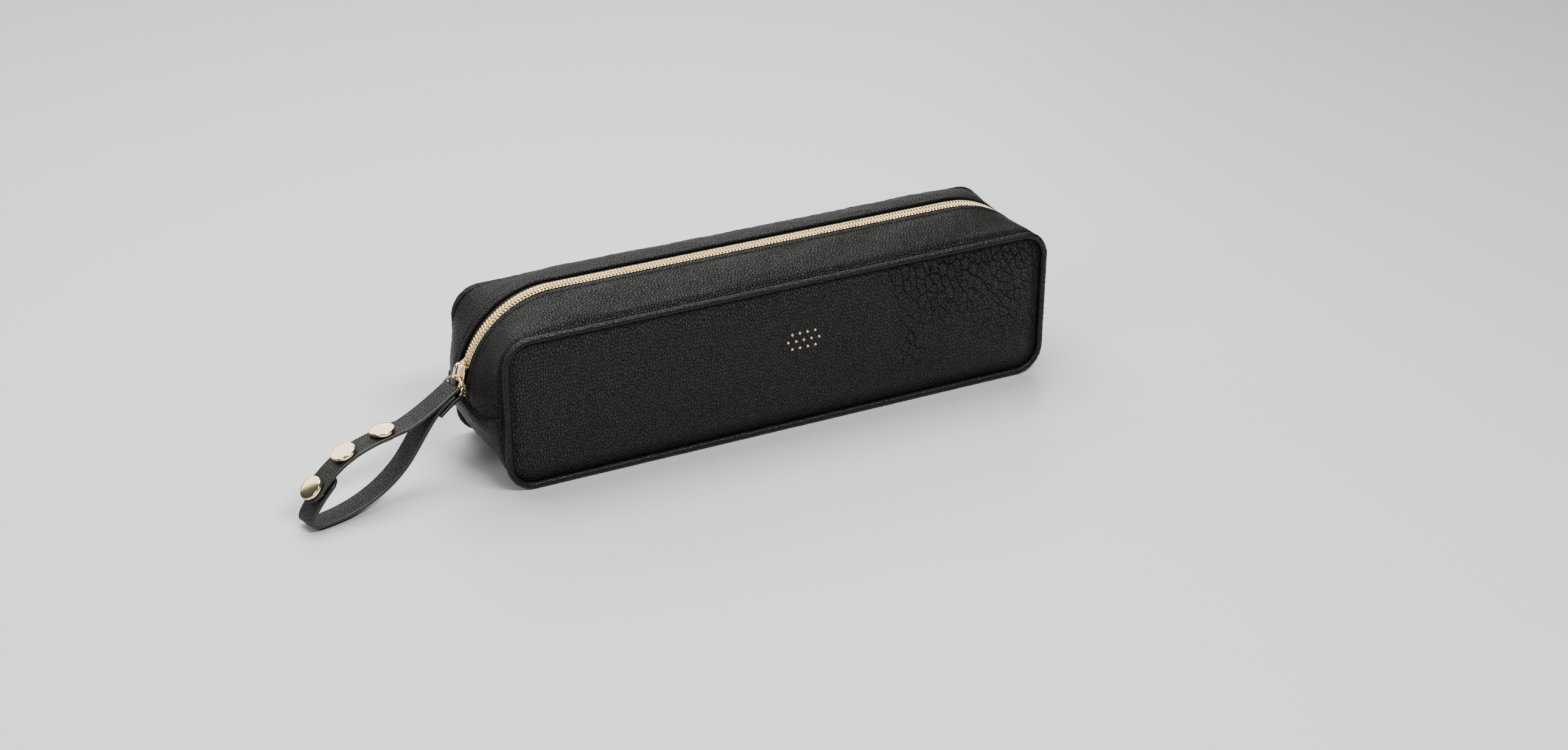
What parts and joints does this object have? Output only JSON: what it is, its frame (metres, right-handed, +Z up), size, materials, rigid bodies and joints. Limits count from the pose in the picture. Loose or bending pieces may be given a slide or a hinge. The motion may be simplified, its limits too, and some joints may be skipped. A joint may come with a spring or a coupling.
{
  "type": "zipped carry case",
  "caption": "Long black leather-covered zip carry case for a hair tool, with piped panels, a gold coil zip and a snap wrist strap on the slider.",
  "frame": {"origin": "centre of the base, on the floor", "axes": "+X along the length, away from the strap; +Y to the back; +Z up; the front panel with the studs faces -Y"},
  "size_m": [0.4348, 0.075, 0.0947],
  "materials": {
    "case_leather": "semi-gloss pebble grain",
    "piping_leather": "semi-gloss, fine cross wrinkles",
    "strap_leather": "semi-gloss pebble grain, painted edge",
    "lining": "plain woven",
    "padding": "soft padding",
    "piping_cord": "extruded cord",
    "base_board": "pressed board",
    "zip_tape": "woven tape",
    "zip_coil": "metallised gold coil",
    "zip_hardware": "polished pale gold plate",
    "snap_metal": "polished rose gold plate",
    "stud_metal": "polished gold plate"
  },
  "bodies": {
    "case": {"front_panel": "case_leather", "front_panel_foam": "padding", "front_lining": "lining", "back_panel": "case_leather", "back_panel_foam": "padding", "back_lining": "lining", "front_piping": "piping_leather", "front_piping_cord": "piping_cord", "back_piping": "piping_leather", "back_piping_cord": "piping_cord", "lower_gusset": "case_leather", "lower_lining": "lining", "base_board": "base_board", "front_gusset_ends": "case_leather", "back_gusset_ends": "case_leather", "front_gusset_end_linings": "lining", "back_gusset_end_linings": "lining", "front_tape_ends": "zip_tape", "back_tape_ends": "zip_tape", "front_coil_ends": "zip_coil", "back_coil_ends": "zip_coil", "zip_top_stops": "stud_metal", "zip_bottom_stop": "stud_metal", "front_studs": "stud_metal"},
    "front_flap": {"front_gusset_top": "case_leather", "front_gusset_top_lining": "lining", "front_tape_top": "zip_tape", "front_coil_top": "zip_coil"},
    "back_flap": {"back_gusset_top": "case_leather", "back_gusset_top_lining": "lining", "back_tape_top": "zip_tape", "back_coil_top": "zip_coil"},
    "slider": {"slider_body": "zip_hardware", "slider_bail": "zip_hardware"},
    "pull_ring": {"pull_ring": "zip_hardware"},
    "strap_lower": {"strap_fold": "strap_leather", "strap_lower": "strap_leather", "snap_stud": "snap_metal", "snap_stud_washer": "snap_metal"},
    "strap_upper": {"strap_upper": "strap_leather", "snap_caps": "snap_metal", "snap_sockets": "snap_metal"}
  },
  "joints": [
    {"name": "slider_travel", "type": "hinge", "parent": "case", "child": "slider", "pos_m": [-0.1175, 0, 0.0427], "axis": [0, 1, 0], "range_deg": [0, 68]},
    {"name": "ring_swing", "type": "hinge", "parent": "slider", "child": "pull_ring", "pos_m": [-0.17158, 0, 0.05403], "axis": [-0.2071, 0.9744, -0.0872], "range_deg": [0, 85]},
    {"name": "strap_swing", "type": "hinge", "parent": "pull_ring", "child": "strap_lower", "pos_m": [-0.17495, -0.00131, 0.04735], "axis": [-0.2071, 0.9744, -0.0872], "range_deg": [-35, 25]},
    {"name": "strap_unsnap", "type": "hinge", "parent": "strap_lower", "child": "strap_upper", "pos_m": [-0.17495, -0.00131, 0.04735], "axis": [-0.2071, 0.9744, -0.0872], "range_deg": [0, 22]},
    {"name": "front_flap_open", "type": "hinge", "parent": "case", "child": "front_flap", "pos_m": [0, -0.0356, 0.0841], "axis": [1, 0, 0], "range_deg": [0, 65]},
    {"name": "back_flap_open", "type": "hinge", "parent": "case", "child": "back_flap", "pos_m": [0, 0.0356, 0.0841], "axis": [-1, 0, 0], "range_deg": [0, 65]}
  ]
}
